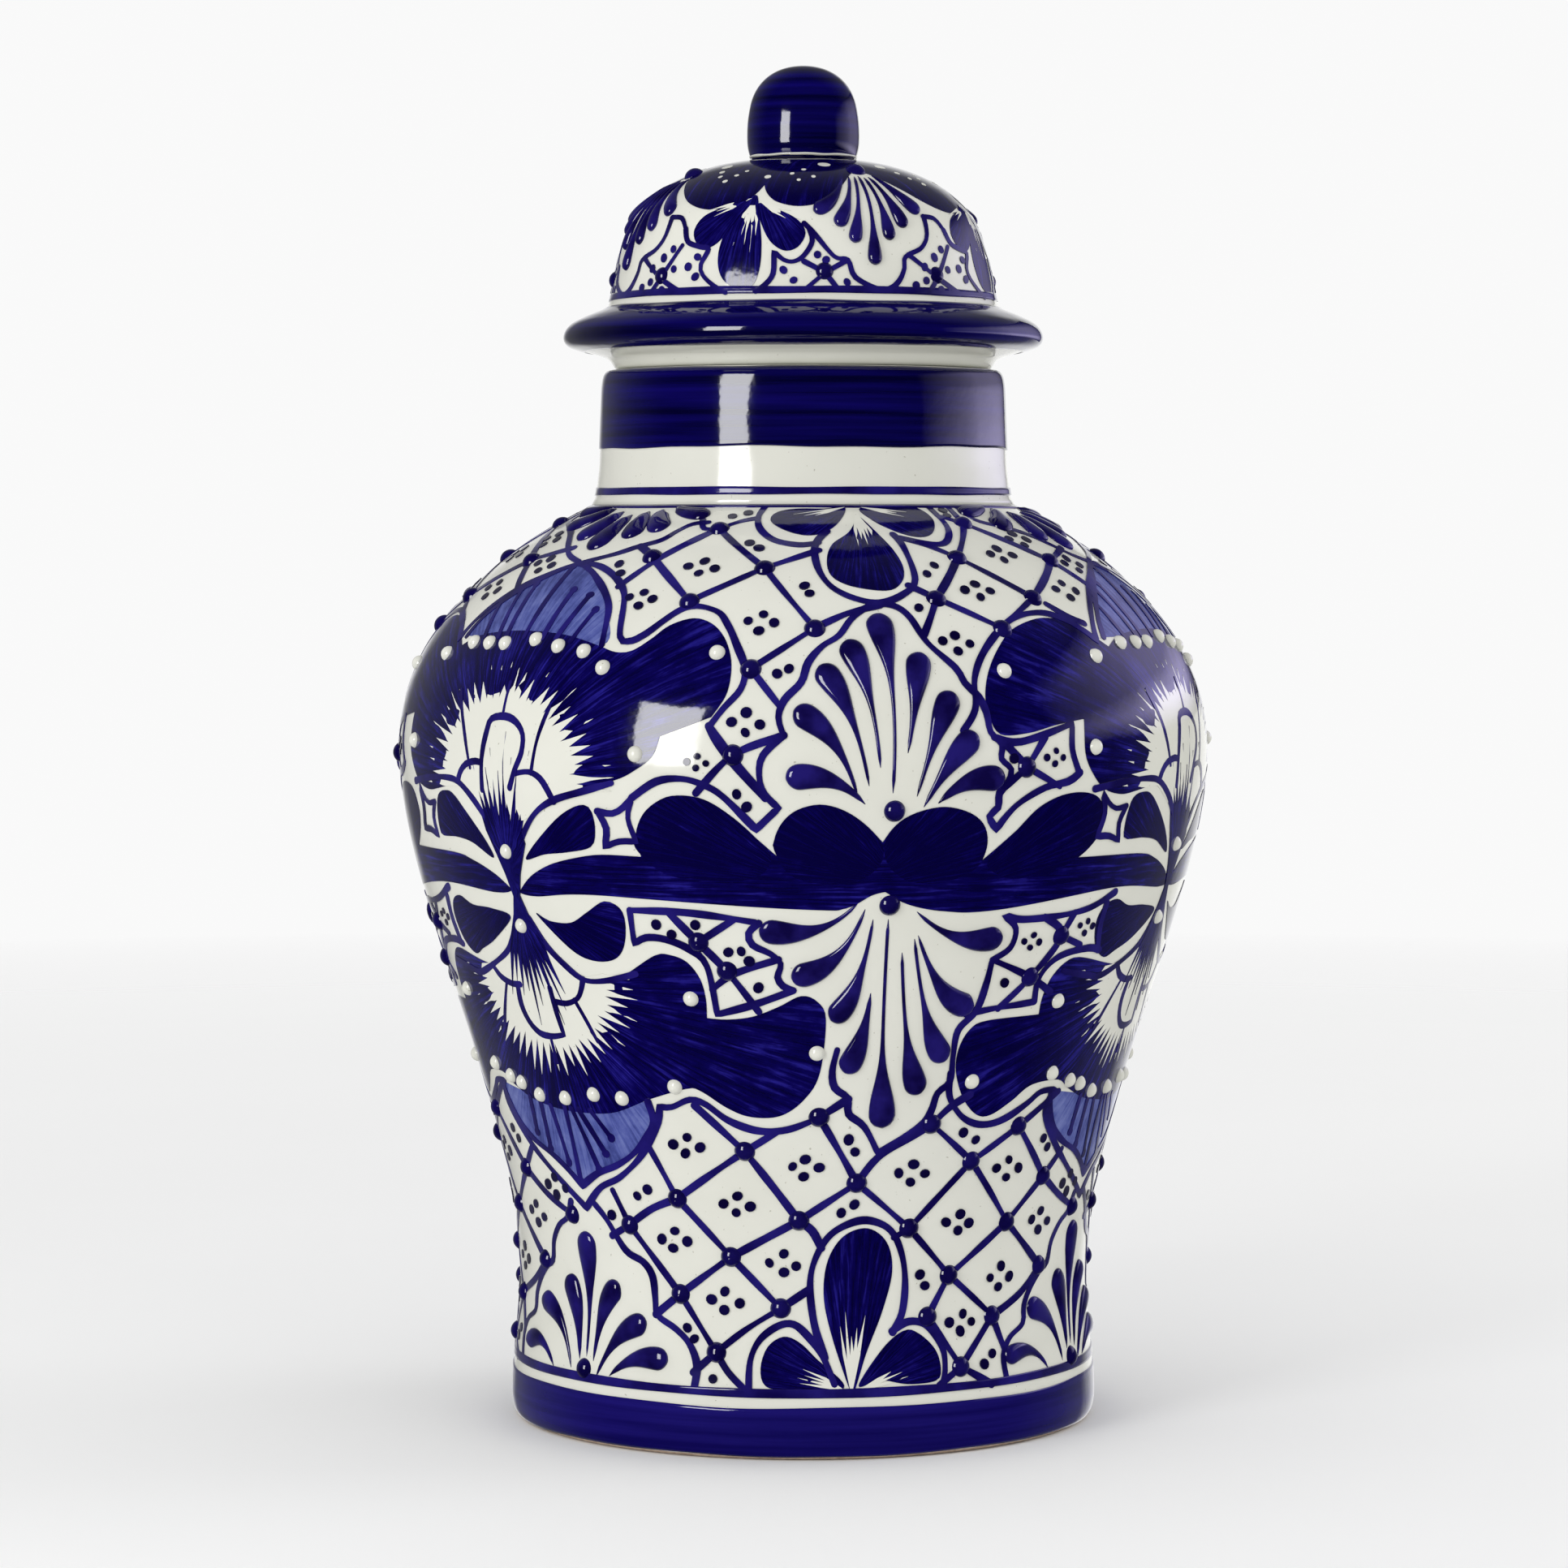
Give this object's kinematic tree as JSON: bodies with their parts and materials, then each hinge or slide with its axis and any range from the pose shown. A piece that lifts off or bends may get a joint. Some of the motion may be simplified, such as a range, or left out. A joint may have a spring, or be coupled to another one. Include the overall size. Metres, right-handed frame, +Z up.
{
  "type": "ginger jar",
  "caption": "Lidded ginger jar in white glazed earthenware with a domed, knobbed lid and raised blue and white beads and drops.",
  "frame": {"origin": "centre of the foot's resting face", "axes": "+Z up along the jar's axis; -Y towards the front, where a fan column stands 11.5 degrees to the right"},
  "size_m": [0.2431, 0.241, 0.4],
  "materials": {
    "white_glaze": "gloss",
    "cobalt_glaze": "gloss",
    "cobalt_relief": "gloss",
    "white_relief": "gloss"
  },
  "bodies": {
    "jar": {"jar_body": "white_glaze", "jar_collar": "white_glaze", "jar_net_beads": "cobalt_relief", "jar_blossom_pearls": "white_relief", "jar_fan_beads": "cobalt_relief", "jar_shoulder_drops": "cobalt_relief", "jar_upper_fan_drops": "cobalt_relief", "jar_lower_fan_drops": "cobalt_relief", "jar_foot_fan_drops": "cobalt_relief"},
    "lid": {"lid_shell": "white_glaze", "lid_knob": "cobalt_glaze", "lid_net_beads": "cobalt_relief", "lid_fan_beads": "cobalt_relief", "lid_fan_drops": "cobalt_relief"}
  },
  "joints": [
    {"name": "lid_lift", "type": "slide", "parent": "jar", "child": "lid", "axis": [0, 0, 1], "range_m": [0, 0.12]}
  ]
}
